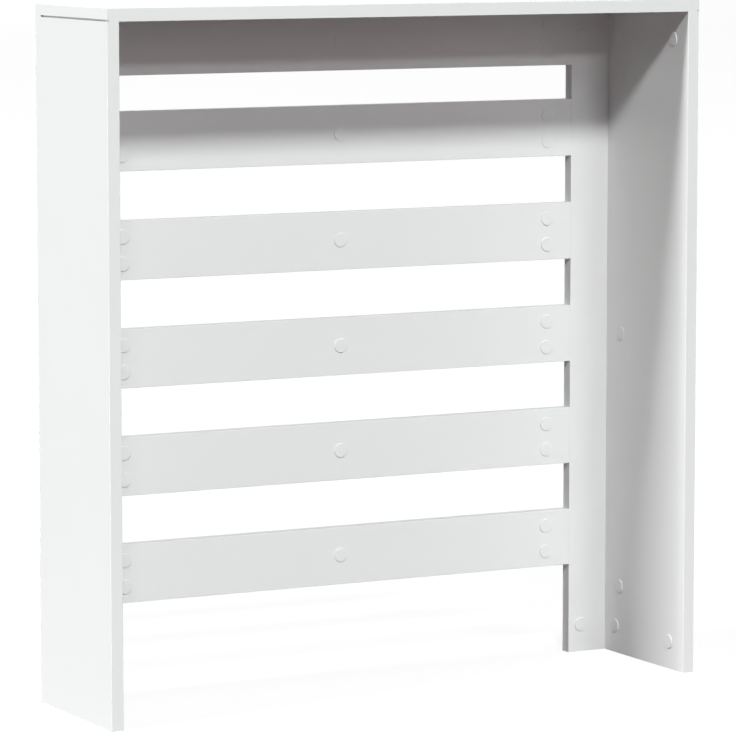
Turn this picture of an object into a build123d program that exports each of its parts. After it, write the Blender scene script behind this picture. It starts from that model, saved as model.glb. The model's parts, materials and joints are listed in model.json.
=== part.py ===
from build123d import *
import os

# Radiator cover cabinet: a flat-pack box of white boards that stands over a radiator.
# Front at -Y, open back at +Y against the wall, +Z up, origin on the floor under the middle.
# Left and right are as seen from the room. All sizes are in millimetres.

# Carcass
width = 780.0
depth = 200.0
board = 15.0

# Slatted front, from the floor upwards
foot_gap = 112.0
slat_count = 5
slat_height = 70.0
slat_gap = 58.0
rail_gap = 42.0
stile_width = 68.0

# Arrises
edge_round = 0.5

# Shadow groove under each end of the top, above the side, as far as the strip that edges the back
groove_height = 2.2
groove_depth = 3.0
edging = 1.0

# Cam locks: a drum in the face of one board draws in a bolt screwed into the other
cam_diameter = 15.0
cam_skin = 3.0
cam_reach = 34.0
cam_clearance = 0.2
bolt_diameter = 6.5
bolt_end_setback = 3.0
bolt_clearance = 0.4
thread_skin = 3.5
thread_end_clearance = 0.5
thread_clearance = 0.15

# Where the cam locks sit
slat_cam_spacing = 32.0
side_cam_end = 85.0
side_top_cam_from_back = 34.0
side_top_cam_from_stile = 25.0
stile_cam_from_inner_edge = 17.5

# White caps over the cams, and plugs in the bores that this hand of a board doesn't use
cap_diameter = 17.0
cap_rim = 1.0
cap_bevel = 0.4
plug_depth = 5.0
plug_clearance = 0.2

# The small round pieces are many, so each is drawn with few flats, too small to tell from round
cap_sides = 16
cam_sides = 10
bolt_sides = 8

# Worked out from the sizes above
slat_pitch = slat_height + slat_gap
slats_top = foot_gap + slat_count * slat_pitch - slat_gap
side_height = slats_top + rail_gap + slat_height
rail_bottom = side_height - slat_height
height = side_height + board
half_width = width / 2
half_inside = half_width - board
front_face = -depth / 2
frame_back = front_face + board
back_face = depth / 2
stile_edge = half_width - stile_width
cam_depth = board - cam_skin
thread_depth = board - thread_skin
mid_board = board / 2

LEFT, RIGHT = -1, 1
INTO_FRONT = Vector(0, -1, 0)
UP, DOWN = Vector(0, 0, 1), Vector(0, 0, -1)


def outward(side):
    return Vector(side, 0, 0)


def box(x_range, y_range, z_range):
    """A box between three pairs of limits."""
    spans = [high - low for low, high in (x_range, y_range, z_range)]
    middle = [(low + high) / 2 for low, high in (x_range, y_range, z_range)]
    return Pos(*middle) * Box(*spans)


def rod(start, direction, diameter, length, sides):
    """A bar that runs from a point along a direction, round but for its few flats."""
    section = RegularPolygon(diameter / 2, sides)
    return Plane(origin=start, z_dir=direction) * extrude(section, length)


class CamLock:
    """A cam in the face of one board, and its bolt in the board that it draws up."""

    def __init__(self, mouth, inward, toward, used=True):
        self.mouth = Vector(*mouth)
        self.inward = inward
        self.toward = toward
        self.used = used
        self.centre = self.mouth + inward * mid_board
        self.joint = self.centre + toward * cam_reach

    def drum_bore(self):
        return rod(self.mouth, self.inward, cam_diameter, cam_depth, cam_sides)

    def bolt_passage(self):
        diameter = bolt_diameter + 2 * bolt_clearance
        return rod(self.joint, self.toward * -1, diameter, cam_reach, bolt_sides)

    def thread_bore(self):
        diameter = bolt_diameter + 2 * thread_clearance
        return rod(self.joint, self.toward, diameter, thread_depth, bolt_sides)

    def cam(self):
        """The drum, with the pocket where it grips the bolt's end."""
        top = self.mouth + self.inward * cam_clearance
        diameter = cam_diameter - 2 * cam_clearance
        drum = rod(top, self.inward, diameter, cam_depth - 2 * cam_clearance, cam_sides)
        throat = bolt_diameter + 2 * bolt_clearance
        reach = cam_diameter / 2 + bolt_clearance
        pocket = Box(reach, throat, throat, align=(Align.MIN, Align.CENTER, Align.CENTER))
        return drum - Plane(self.centre, x_dir=self.toward, z_dir=self.inward) * pocket

    def bolt(self):
        tip = self.joint + self.toward * (thread_depth - thread_end_clearance)
        end = self.centre + self.toward * bolt_end_setback
        return rod(tip, self.toward * -1, bolt_diameter, (tip - end).length, bolt_sides)

    def cap(self):
        """A bevelled disc that lies on the board's face, over the cam."""
        out = self.inward * -1
        disc = rod(self.mouth, out, cap_diameter, cap_rim + cap_bevel, cap_sides)
        outer_face = disc.faces().sort_by(Axis(self.mouth, out))[-1]
        return chamfer(outer_face.edges(), cap_bevel)

    def plug(self):
        """A cap with a stub that fills an unused bore's mouth."""
        diameter = cam_diameter - 2 * plug_clearance
        return self.cap() + rod(self.mouth, self.inward, diameter, plug_depth, cam_sides)


def slat_bottoms():
    """The lower edge of each slat, the highest slat first."""
    return [foot_gap + row * slat_pitch for row in reversed(range(slat_count))]


def slat_end_locks(bottom, side):
    x = side * (stile_edge - cam_reach)
    middle = bottom + slat_height / 2
    heights = (middle + slat_cam_spacing / 2, middle - slat_cam_spacing / 2)
    return [CamLock((x, frame_back, z), INTO_FRONT, outward(side)) for z in heights]


def frame_locks(side):
    """All the locks that hold the rail and the slats to one stile."""
    bottoms = [rail_bottom] + slat_bottoms()
    return [lock for bottom in bottoms for lock in slat_end_locks(bottom, side)]


def middle_lock(bottom):
    """Ties the rail to the top. On a slat only its bore is there, and stays empty."""
    return CamLock((0, frame_back, bottom + slat_height - cam_reach), INTO_FRONT, UP)


def side_front_locks(side):
    heights = (side_height - side_cam_end, side_height / 2, side_cam_end)
    mouth_x = side * half_inside
    y = frame_back + cam_reach
    return [CamLock((mouth_x, y, z), outward(side), INTO_FRONT) for z in heights]


def side_end_locks(side):
    """Each side is one board turned end for end, so its lower end has the same bores, unused."""
    places = (back_face - side_top_cam_from_back, frame_back + side_top_cam_from_stile)
    locks = []
    for y in places:
        upper_mouth = (side * half_inside, y, side_height - cam_reach)
        locks.append(CamLock(upper_mouth, outward(side), UP))
        lower_mouth = (side * half_inside, y, cam_reach)
        locks.append(CamLock(lower_mouth, outward(side), DOWN, used=False))
    return locks


def stile_end_locks(side):
    x = side * (stile_edge + stile_cam_from_inner_edge)
    upper = CamLock((x, frame_back, side_height - cam_reach), INTO_FRONT, UP)
    lower = CamLock((x, frame_back, cam_reach), INTO_FRONT, DOWN, used=False)
    return [upper, lower]


def used(locks):
    return [lock for lock in locks if lock.used]


def spare(locks):
    return [lock for lock in locks if not lock.used]


def cam_bores(locks):
    """The bores in the board that holds the cams."""
    return [lock.drum_bore() for lock in locks] + [lock.bolt_passage() for lock in locks]


def thread_bores(locks):
    """The bores in the board that the bolts are screwed into."""
    return [lock.thread_bore() for lock in locks]


def top_panel():
    panel = box((-half_width, half_width), (front_face, back_face), (side_height, height))
    panel = fillet(panel.faces().sort_by(Axis.Z)[-1].edges(), edge_round)
    locks = [middle_lock(rail_bottom)]
    for side in (LEFT, RIGHT):
        locks += used(side_end_locks(side)) + used(stile_end_locks(side))
    return panel - (end_grooves() + thread_bores(locks))


def end_grooves():
    """The rebates that make a dark line where the top lies on the sides."""
    along = (frame_back, back_face - edging)
    upward = (side_height, side_height + groove_height)
    left = box((-half_width, -half_width + groove_depth), along, upward)
    right = box((half_width - groove_depth, half_width), along, upward)
    return [left, right]


def side_panel(side):
    inner, outer = sorted((side * half_inside, side * half_width))
    panel = box((inner, outer), (frame_back, back_face), (0, side_height))
    panel = fillet(panel.faces().sort_by(Axis.Y)[-1].edges().filter_by(Axis.Z), edge_round)
    return panel - cam_bores(side_front_locks(side) + side_end_locks(side))


def stile(side):
    inner, outer = sorted((side * stile_edge, side * half_width))
    upright = box((inner, outer), (front_face, frame_back), (0, side_height))
    corners = upright.edges().filter_by(Axis.Z).sort_by(Axis((0, 0, 0), outward(side)))
    outer_front = corners[2:].sort_by(Axis.Y)[0]
    upright = fillet(corners[:2] + [outer_front], edge_round)
    bolts = side_front_locks(side) + frame_locks(side)
    return upright - (thread_bores(bolts) + cam_bores(stile_end_locks(side)))


def crossbar(bottom):
    """The board that makes the top rail and each slat, up to its middle bore."""
    bar = box((-stile_edge, stile_edge), (front_face, frame_back), (bottom, bottom + slat_height))
    bar = fillet(bar.edges().filter_by(Axis.X), edge_round)
    locks = slat_end_locks(bottom, LEFT) + slat_end_locks(bottom, RIGHT)
    return bar - (cam_bores(locks) + [middle_lock(bottom).drum_bore()])


def top_rail():
    return crossbar(rail_bottom) - middle_lock(rail_bottom).bolt_passage()


def save(name, solids):
    """One STEP file for each node, a group where the solids are several."""
    shape = solids[0] if len(solids) == 1 else Compound(solids)
    shape.label = name
    export_step(shape, f"parts/{name}.step")


def as_solids(shapes):
    return [solid for shape in shapes for solid in shape.solids()]


def save_locks(place, locks):
    """The cams, bolts and caps of the locks in use, as three groups."""
    save(f"cam_locks_{place}", as_solids(lock.cam() for lock in locks))
    save(f"cam_bolts_{place}", as_solids(lock.bolt() for lock in locks))
    save(f"cam_caps_{place}", as_solids(lock.cap() for lock in locks))


def main():
    os.makedirs("parts", exist_ok=True)
    save("top_panel", top_panel().solids())
    save("top_rail", top_rail().solids())
    for number, bottom in enumerate(slat_bottoms(), start=1):
        save(f"slat_{number}", crossbar(bottom).solids())
    top_locks = [middle_lock(rail_bottom)]
    side_spares = []
    stile_spares = []
    for side, hand in ((LEFT, "left"), (RIGHT, "right")):
        save(f"side_panel_{hand}", side_panel(side).solids())
        save(f"stile_{hand}", stile(side).solids())
        save_locks(f"frame_{hand}", frame_locks(side))
        save_locks(f"side_{hand}", side_front_locks(side) + used(side_end_locks(side)))
        top_locks += used(stile_end_locks(side))
        side_spares += spare(side_end_locks(side))
        stile_spares += spare(stile_end_locks(side))
    save_locks("top_front", top_locks)
    slat_spares = [middle_lock(bottom) for bottom in slat_bottoms()]
    for place, spares in (("slats", slat_spares), ("sides", side_spares), ("stiles", stile_spares)):
        save(f"bore_plugs_{place}", as_solids(lock.plug() for lock in spares))


main()
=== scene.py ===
import json
import math

import bpy
import numpy as np
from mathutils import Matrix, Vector


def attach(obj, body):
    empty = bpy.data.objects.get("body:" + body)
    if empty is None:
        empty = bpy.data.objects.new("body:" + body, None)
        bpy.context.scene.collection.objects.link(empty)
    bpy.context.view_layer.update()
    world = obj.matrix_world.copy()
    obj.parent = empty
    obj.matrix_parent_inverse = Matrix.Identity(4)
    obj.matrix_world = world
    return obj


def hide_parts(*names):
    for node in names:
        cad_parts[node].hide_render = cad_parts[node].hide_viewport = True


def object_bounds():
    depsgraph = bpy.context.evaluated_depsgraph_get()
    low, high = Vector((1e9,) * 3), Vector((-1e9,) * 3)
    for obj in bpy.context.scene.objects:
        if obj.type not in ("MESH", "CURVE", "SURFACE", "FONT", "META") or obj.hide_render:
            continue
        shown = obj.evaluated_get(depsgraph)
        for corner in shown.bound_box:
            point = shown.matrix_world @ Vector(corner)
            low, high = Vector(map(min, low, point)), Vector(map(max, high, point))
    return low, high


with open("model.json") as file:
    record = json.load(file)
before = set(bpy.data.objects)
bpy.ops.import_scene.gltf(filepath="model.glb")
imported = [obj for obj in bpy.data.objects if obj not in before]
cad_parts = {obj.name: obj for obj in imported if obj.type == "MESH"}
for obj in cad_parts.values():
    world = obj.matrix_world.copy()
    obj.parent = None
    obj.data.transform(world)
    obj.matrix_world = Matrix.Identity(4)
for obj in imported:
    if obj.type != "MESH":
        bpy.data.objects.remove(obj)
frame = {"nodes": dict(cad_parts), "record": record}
cadBox = [list(corner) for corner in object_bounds()]
cadNodes = frame["nodes"]
print("frame loaded,", len(cadNodes), "nodes")


# helpers for materials

noiseSpan = (0.3, 0.7)  # where most of a noise texture's values lie


def newMaterial(name):
    material = bpy.data.materials.new(name)
    material.use_nodes = True
    material.node_tree.nodes.clear()
    return material, material.node_tree


def addNode(tree, kind, **settings):
    node = tree.nodes.new(kind)
    for key, value in settings.items():
        setattr(node, key, value)
    return node


def objectCoords(tree):
    return addNode(tree, "ShaderNodeTexCoord").outputs["Object"]


def noise(tree, coords, scale, detail, roughness=0.5):
    node = addNode(tree, "ShaderNodeTexNoise")
    tree.links.new(coords, node.inputs["Vector"])
    node.inputs["Scale"].default_value = scale
    node.inputs["Detail"].default_value = detail
    node.inputs["Roughness"].default_value = roughness
    return node.outputs["Fac"]


def mapRange(tree, value, source, target, kind="LINEAR"):
    node = addNode(tree, "ShaderNodeMapRange", interpolation_type=kind)
    tree.links.new(value, node.inputs["Value"])
    for name, limit in zip(("From Min", "From Max", "To Min", "To Max"), (*source, *target)):
        node.inputs[name].default_value = limit
    return node.outputs["Result"]


def mixColours(tree, factor, first, second):
    node = addNode(tree, "ShaderNodeMix", data_type="RGBA")
    tree.links.new(factor, node.inputs["Factor"])
    for name, colour in (("A", first), ("B", second)):
        socket = next(each for each in node.inputs if each.name == name and each.type == "RGBA")
        if isinstance(colour, bpy.types.NodeSocket):
            tree.links.new(colour, socket)
        else:
            socket.default_value = (*colour, 1)
    return next(each for each in node.outputs if each.type == "RGBA")


def mathNode(tree, operation, *inputs):
    node = addNode(tree, "ShaderNodeMath", operation=operation)
    for socket, value in zip(node.inputs, inputs):
        if isinstance(value, bpy.types.NodeSocket):
            tree.links.new(value, socket)
        else:
            socket.default_value = value
    return node.outputs[0]


def bump(tree, height, distance, under=None):
    node = addNode(tree, "ShaderNodeBump")
    tree.links.new(height, node.inputs["Height"])
    node.inputs["Distance"].default_value = distance
    if under is not None:
        tree.links.new(under, node.inputs["Normal"])
    return node.outputs["Normal"]


def shaderOutput(tree):
    shader = addNode(tree, "ShaderNodeBsdfPrincipled")
    output = addNode(tree, "ShaderNodeOutputMaterial")
    tree.links.new(shader.outputs["BSDF"], output.inputs["Surface"])
    return shader


# white melamine, on all the boards; colours are linear, sizes in metres, scales per metre

melamine = {
    "light": (0.733, 0.738, 0.737),  # a cool white
    "dark": (0.721, 0.727, 0.725),
    "cloudScale": 6.0,               # slow change of tone along a board
    "cloudDetail": 3.0,
    "pearlScale": 1400.0,            # the pressed pearl texture
    "pearlDetail": 2.0,
    "pearlRoughness": 0.6,
    "pearlDepth": 0.00004,
    "waveScale": 30.0,               # the chips under the paper, just felt through it
    "waveDetail": 3.0,
    "waveDepth": 0.00006,
    "roughLow": 0.36,
    "roughHigh": 0.46,
    "coreAndPaintedShade": (0.50, 0.49, 0.47),      # the bare chips in the grooves under the top's ends, darkened with painted shade
    "board": 0.015,                  # how thick the top is
    "grooveDepth": 0.003,            # how far the grooves reach in from its ends
    "grooveHeight": 0.0022,          # and how far up from its underside
    "margin": 0.00005,               # how far their colour is moved, off the faces round them
}


def within(tree, value, low, high):  # 1 from low to high, 0 past them
    return mathNode(tree, "COMPARE", value, (low + high) / 2, (high - low) / 2)


def grooveShadeMask(tree, coords, values):  # 1 on the walls of the grooves, where the painted shade goes, else 0
    # it has no limit along the grooves, so a speck of it shows on the top's front and back edges
    split = addNode(tree, "ShaderNodeSeparateXYZ")
    tree.links.new(coords, split.inputs[0])
    sideways = mathNode(tree, "ABSOLUTE", split.outputs["X"])
    outer = cadBox[1][0] - values["margin"]
    underside = cadBox[1][2] - values["board"] + values["margin"]
    across = within(tree, sideways, outer - values["grooveDepth"], outer)
    upright = within(tree, split.outputs["Z"], underside, underside + values["grooveHeight"])
    return mathNode(tree, "MULTIPLY", across, upright)


def makeMelamine(name, values):
    material, tree = newMaterial(name)
    coords = objectCoords(tree)
    shader = shaderOutput(tree)
    cloud = noise(tree, coords, values["cloudScale"], values["cloudDetail"])
    pearl = noise(tree, coords, values["pearlScale"], values["pearlDetail"], values["pearlRoughness"])
    wave = noise(tree, coords, values["waveScale"], values["waveDetail"])
    face = mixColours(tree, mapRange(tree, cloud, noiseSpan, (0, 1)), values["dark"], values["light"])
    # painted shade: the grooves' walls take the darkened chip colour, standing in for the shade inside
    # them
    colour = mixColours(tree, grooveShadeMask(tree, coords, values), face, values["coreAndPaintedShade"])
    tree.links.new(colour, shader.inputs["Base Color"])
    rough = mapRange(tree, pearl, noiseSpan, (values["roughLow"], values["roughHigh"]))
    tree.links.new(rough, shader.inputs["Roughness"])
    low = bump(tree, wave, values["waveDepth"])
    tree.links.new(bump(tree, pearl, values["pearlDepth"], low), shader.inputs["Normal"])
    return material


# white moulded plastic on the caps, and zinc castings and plated steel bolts inside the boards

capPlastic = {
    "light": (0.733, 0.738, 0.737),
    "dark": (0.721, 0.727, 0.725),
    "metallic": 0.0,
    "toneScale": 60.0,
    "toneDetail": 2.0,
    "grainScale": 900.0,
    "grainDetail": 2.0,
    "grainRoughness": 0.5,
    "grainDepth": 0.00002,
    "roughLow": 0.34,
    "roughHigh": 0.46,
}
zinc = {
    "light": (0.62, 0.63, 0.64),
    "dark": (0.50, 0.51, 0.52),
    "metallic": 1.0,
    "toneScale": 150.0,
    "toneDetail": 3.0,
    "grainScale": 700.0,
    "grainDetail": 4.0,
    "grainRoughness": 0.6,
    "grainDepth": 0.00004,
    "roughLow": 0.40,
    "roughHigh": 0.60,
}
platedSteel = {
    "light": (0.74, 0.75, 0.77),
    "dark": (0.62, 0.63, 0.66),
    "metallic": 1.0,
    "toneScale": 150.0,
    "toneDetail": 3.0,
    "grainScale": 1600.0,
    "grainDetail": 4.0,
    "grainRoughness": 0.6,
    "grainDepth": 0.00002,
    "roughLow": 0.22,
    "roughHigh": 0.38,
}


def makeGrained(name, values):  # a slow change of tone, and a fine grain in the gloss and relief
    material, tree = newMaterial(name)
    coords = objectCoords(tree)
    shader = shaderOutput(tree)
    shader.inputs["Metallic"].default_value = values["metallic"]
    grain = noise(tree, coords, values["grainScale"], values["grainDetail"], values["grainRoughness"])
    tone = noise(tree, coords, values["toneScale"], values["toneDetail"])
    colour = mixColours(tree, mapRange(tree, tone, noiseSpan, (0, 1)), values["dark"], values["light"])
    tree.links.new(colour, shader.inputs["Base Color"])
    rough = mapRange(tree, grain, noiseSpan, (values["roughLow"], values["roughHigh"]))
    tree.links.new(rough, shader.inputs["Roughness"])
    tree.links.new(bump(tree, grain, values["grainDepth"]), shader.inputs["Normal"])
    return material


finishes = {
    "white_board": makeMelamine("whiteMelamine", melamine),
    "white_plastic": makeGrained("whitePlastic", capPlastic),
    "zinc": makeGrained("zincCasting", zinc),
    "bright_steel": makeGrained("platedSteel", platedSteel),
}
slotOfNode = {part["node"]: part["material_slot"] for part in frame["record"]["subparts"]}
for nodeName, nodeObject in cadNodes.items():
    nodeObject.data.materials.clear()
    nodeObject.data.materials.append(finishes[slotOfNode[nodeName]])
print("finishes on all nodes")


def addMesh(name, points, faces, material):
    mesh = bpy.data.meshes.new(name)
    mesh.from_pydata(points, [], faces)
    mesh.materials.append(material)
    item = bpy.data.objects.new(name, mesh)
    bpy.context.scene.collection.objects.link(item)
    return item


# the caps, round and softly crowned, where the solids are many-sided prisms

capForm = {                 # metres, heights from the board's face
    "solid": 0.0014,        # the flat solid's own height
    "stubFrom": 0.001,      # a solid that goes deeper than this into the board has a stub
    "stubRadius": 0.0073,   # the plug's stub in the bore
    "radius": 0.0085,
    "rim": 0.00095,         # straight wall
    "soften": 0.00015,      # radius of its arris
    "crown": 0.0001,        # how far the face swells in the middle
    "around": 36,
    "faceRings": 7,
    "arrisSteps": 4,
    "sharpAngle": 40.0,     # degrees; flatter edges are shaded smooth
}


def capProfile(values):  # radii and heights from the rim's foot to the middle of the face
    # the arris is a quarter of a circle
    turn = np.linspace(0, math.pi / 2, values["arrisSteps"])
    arrisRadius = values["radius"] - values["soften"] * (1 - np.cos(turn))
    arrisHeight = values["rim"] + values["soften"] * np.sin(turn)
    # the face is a shallow paraboloid: its height falls with the square of the radius
    faceRadius = np.linspace(arrisRadius[-1], 0, values["faceRings"] + 1)[1:]
    faceHeight = arrisHeight[-1] + values["crown"] * (1 - (faceRadius / arrisRadius[-1]) ** 2)
    radii = np.concatenate([[values["radius"]], arrisRadius, faceRadius])
    heights = np.concatenate([[0], arrisHeight, faceHeight])
    return radii, heights


def withBack(profile):  # a flat back that lies on the board
    radii, heights = profile
    return np.concatenate([[0], radii]), np.concatenate([[0], heights])


def withStub(profile, stubRadius, depth):  # a stub that reaches into the bore
    radii, heights = profile
    stubRadii = [0, stubRadius, stubRadius]
    stubHeights = [-depth, -depth, 0]
    return np.concatenate([stubRadii, radii]), np.concatenate([stubHeights, heights])


def lathe(profile, around, start):  # rings about the third axis, closed by a pole at each end
    radii, heights = profile
    angle = np.arange(around) * 2 * math.pi / around
    ringRadii, ringHeights = radii[1:-1], heights[1:-1]
    rings = np.stack([
        np.outer(ringRadii, np.cos(angle)),
        np.outer(ringRadii, np.sin(angle)),
        np.repeat(ringHeights[:, None], around, axis=1),
    ], axis=-1)
    poles = [[0, 0, heights[0]], [0, 0, heights[-1]]]
    points = np.vstack([rings.reshape(-1, 3), poles])
    # the points go ring by ring; walls join each ring to the next, fans join an end ring to its pole
    here = np.arange(around)
    beside = (here + 1) % around
    last = (len(ringRadii) - 1) * around
    low = np.arange(0, last, around)[:, None]
    high = low + around
    walls = np.stack([low + here, low + beside, high + beside, high + here], axis=-1)
    backPole = np.full(around, len(points) - 2)
    backFan = np.stack([backPole, beside, here], axis=1)
    faceFan = np.stack([backPole + 1, last + here, last + beside], axis=1)
    fans = np.vstack([backFan, faceFan])
    return points, (start + walls).reshape(-1, 4).tolist() + (start + fans).tolist()


def looseParts(mesh):  # the corners of the box round each separate part of a mesh
    decimals = 6  # points that are the same to a micrometre are one
    points = np.empty(len(mesh.vertices) * 3)
    mesh.vertices.foreach_get("co", points)
    rounded = points.reshape(-1, 3).round(decimals)
    places, number = np.unique(rounded, axis=0, return_inverse=True)
    ends = np.empty(len(mesh.edges) * 2, dtype=np.int64)
    mesh.edges.foreach_get("vertices", ends)
    first, second = number.reshape(-1)[ends].reshape(-1, 2).T
    label = np.arange(len(places))
    while True:  # each point takes the lowest label next to it, until none changes
        before = label.copy()
        np.minimum.at(label, first, before[second])
        np.minimum.at(label, second, before[first])
        if (label == before).all():
            break
    groups = [places[label == name] for name in np.unique(label)]
    return [(group.min(axis=0), group.max(axis=0)) for group in groups]


def capFrame(low, high):  # where a cap's face is, and its three axes, the last one out of the board
    middle = (low + high) / 2
    if high[0] - low[0] < high[1] - low[1]:  # on a side board, facing the other side
        out = np.array([-np.sign(middle[0]), 0, 0])
    else:                                    # on the slatted front, facing the wall
        out = np.array([0, 1, 0])
    face = np.where(out > 0, high, np.where(out < 0, low, middle))
    up = np.array([0, 0, 1])
    return face, np.stack([up, np.cross(out, up), out])


def makeCaps(name, node, values):
    profile = capProfile(values)
    points, faces = [], []
    for low, high in looseParts(cadNodes[node].data):
        face, axes = capFrame(low, high)
        depth = (high - low).min() - values["solid"]
        form = withBack(profile)
        if depth > values["stubFrom"]:
            form = withStub(profile, values["stubRadius"], depth)
        capPoints, capFaces = lathe(form, values["around"], sum(len(done) for done in points))
        points.append(face - values["solid"] * axes[2] + capPoints @ axes)
        faces += capFaces
    caps = addMesh(name, np.vstack(points).tolist(), faces, finishes["white_plastic"])
    caps.data.shade_smooth()
    caps.data.set_sharp_from_angle(angle=math.radians(values["sharpAngle"]))
    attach(caps, "root")
    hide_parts(node)


for nodeName in sorted(cadNodes):
    if slotOfNode[nodeName] == "white_plastic":
        makeCaps("round_" + nodeName, nodeName, capForm)
print("caps made")


# floor and surroundings, white to the eye

floor = {
    "size": 400.0,
    "bounce": (0.047, 0.020, 0.020),      # what the floor gives back to the cabinet, a little warm
    "nearBounce": (0.150, 0.115, 0.120),  # and what it gives back close to it
    "near": 0.45,                         # metres from the middle up to which that holds
    "far": 0.85,                          # and from which it has faded out
    "seen": (0.15, 0.15, 0.15),           # how much lamplight the eye gets, so that the shadow shows
    "glow": 0.86,                         # and the white under it
}


def seenRays(tree):  # 1 for rays to the eye, also by way of glossy or clear things, else 0
    path = addNode(tree, "ShaderNodeLightPath")
    shown = mathNode(tree, "MAXIMUM", path.outputs["Is Camera Ray"], path.outputs["Is Glossy Ray"])
    return mathNode(tree, "MAXIMUM", shown, path.outputs["Is Transmission Ray"])


def nearness(tree, values):  # 1 on the floor close to the cabinet, 0 far from it
    distance = addNode(tree, "ShaderNodeVectorMath", operation="LENGTH")
    tree.links.new(objectCoords(tree), distance.inputs[0])
    span = (values["near"], values["far"])
    return mapRange(tree, distance.outputs["Value"], span, (1, 0), "SMOOTHSTEP")


def makeFloor(values):
    material, tree = newMaterial("paleFloor")
    seen = seenRays(tree)
    diffuse = addNode(tree, "ShaderNodeBsdfDiffuse")
    bounce = mixColours(tree, nearness(tree, values), values["bounce"], values["nearBounce"])
    tree.links.new(mixColours(tree, seen, bounce, values["seen"]), diffuse.inputs["Color"])
    glow = addNode(tree, "ShaderNodeEmission")
    tree.links.new(mathNode(tree, "MULTIPLY", seen, values["glow"]), glow.inputs["Strength"])
    total = addNode(tree, "ShaderNodeAddShader")
    tree.links.new(diffuse.outputs[0], total.inputs[0])
    tree.links.new(glow.outputs[0], total.inputs[1])
    output = addNode(tree, "ShaderNodeOutputMaterial")
    tree.links.new(total.outputs[0], output.inputs["Surface"])
    half = values["size"] / 2
    corners = [(-half, -half, 0), (half, -half, 0), (half, half, 0), (-half, half, 0)]
    plane = addMesh("floor", corners, [(0, 1, 2, 3)], material)


surroundings = {
    "fill": (0.945, 0.75, 0.76),  # what little light comes from all round
    "fillStrength": 0.031,
    "seen": (1.0, 1.0, 1.0),      # the white that the eye and the reflections get
    "seenStrength": 1.0,
}


def background(tree, colour, strength):
    node = addNode(tree, "ShaderNodeBackground")
    node.inputs["Color"].default_value = (*colour, 1)
    node.inputs["Strength"].default_value = strength
    return node.outputs[0]


def makeWorld(values):
    world = bpy.data.worlds.new("studio")
    bpy.context.scene.world = world
    world.use_nodes = True
    tree = world.node_tree
    tree.nodes.clear()
    fill = background(tree, values["fill"], values["fillStrength"])
    white = background(tree, values["seen"], values["seenStrength"])
    pick = addNode(tree, "ShaderNodeMixShader")
    for socket, source in zip(pick.inputs, (seenRays(tree), fill, white)):
        tree.links.new(source, socket)
    output = addNode(tree, "ShaderNodeOutputWorld")
    tree.links.new(pick.outputs[0], output.inputs["Surface"])


# lamps and camera; turned: degrees from the wall side towards +X, raised: degrees above the level

def direction(values):
    turned, raised = math.radians(values["turned"]), math.radians(values["raised"])
    level = math.cos(raised)
    return Vector((math.sin(turned) * level, math.cos(turned) * level, math.sin(raised)))


def addAimed(name, data, place, away):  # a lamp or camera that looks back along away
    item = bpy.data.objects.new(name, data)
    item.location = place
    item.rotation_mode = "QUATERNION"
    item.rotation_quaternion = (-away).to_track_quat("-Z", "Y")
    bpy.context.scene.collection.objects.link(item)
    return item


# the lamps are far rectangles; across and upright: degrees that one spans as the cabinet sees it
lampTarget = Vector((0, 0, 0.42))
lampDistance = 40.0
lamps = {
    "keyLamp": {"turned": 22.6, "raised": 37.8, "across": 4.6, "upright": 5.4,
                "power": 9600.0, "colour": (0.978, 1.0, 0.987)},
    "wideLamp": {"turned": 27.4, "raised": 37.2, "across": 5.8, "upright": 5.8,
                 "power": 2750.0, "colour": (0.95, 0.965, 1.0)},
    "backLamp": {"turned": -12.0, "raised": 39.5, "across": 10.0, "upright": 5.8,
                 "power": 2280.0, "colour": (0.82, 1.0, 0.915)},
    "midLamp": {"turned": -12.0, "raised": 26.0, "across": 10.0, "upright": 4.0,
                "power": 950.0, "colour": (0.915, 1.0, 0.99)},
    "lowLamp": {"turned": -5.0, "raised": 18.0, "across": 14.0, "upright": 2.6,
                "power": 2400.0, "colour": (0.935, 0.975, 1.0)},
    "horizonLamp": {"turned": -9.0, "raised": 8.0, "across": 40.0, "upright": 14.0,
                    "power": 1170.0, "colour": (1.0, 0.895, 0.9)},
    "sideLamp": {"turned": 84.4, "raised": 44.0, "across": 6.7, "upright": 8.0,
                 "power": 12850.0, "colour": (0.985, 0.995, 1.0)},
    "lowSideLamp": {"turned": 89.8, "raised": 3.5, "across": 2.8, "upright": 5.0,
                    "power": 5150.0, "colour": (0.905, 1.0, 0.955)},
    "roomLamp": {"turned": 190.0, "raised": 2.6, "across": 18.0, "upright": 6.0,
                 "power": 12300.0, "colour": (0.99, 0.98, 0.985)},
    "farSideLamp": {"turned": 269.4, "raised": 2.6, "across": 1.2, "upright": 6.0,
                    "power": 10500.0, "colour": (1.0, 1.0, 1.0)},
}


def lampSide(degrees):  # how long a side has to be, to span so many degrees from so far away
    return 2 * lampDistance * math.tan(math.radians(degrees) / 2)


def makeLamp(name, values):
    data = bpy.data.lights.new(name, "AREA")
    data.shape = "RECTANGLE"
    data.size = lampSide(values["across"])
    data.size_y = lampSide(values["upright"])
    data.energy = values["power"]
    data.color = values["colour"]
    away = direction(values)
    addAimed(name, data, lampTarget + away * lampDistance, away)


camera = {
    "place": (2.34223, 4.41543, 0.96851),
    "turned": 27.8695,
    "raised": 6.6540,
    "lens": 206.615,  # mm, as is the sensor's width
    "sensor": 36.0,
    "farEnd": 100.0,
}


def makeCamera(values):
    data = bpy.data.cameras.new("camera")
    data.sensor_width = values["sensor"]
    data.lens = values["lens"]
    data.clip_end = values["farEnd"]
    bpy.context.scene.camera = addAimed("camera", data, values["place"], direction(values))


makeFloor(floor)
makeWorld(surroundings)
for lampName, lampValues in lamps.items():
    makeLamp(lampName, lampValues)
makeCamera(camera)
bpy.context.scene.view_settings.view_transform = "Standard"
print("stage, lamps and camera set")
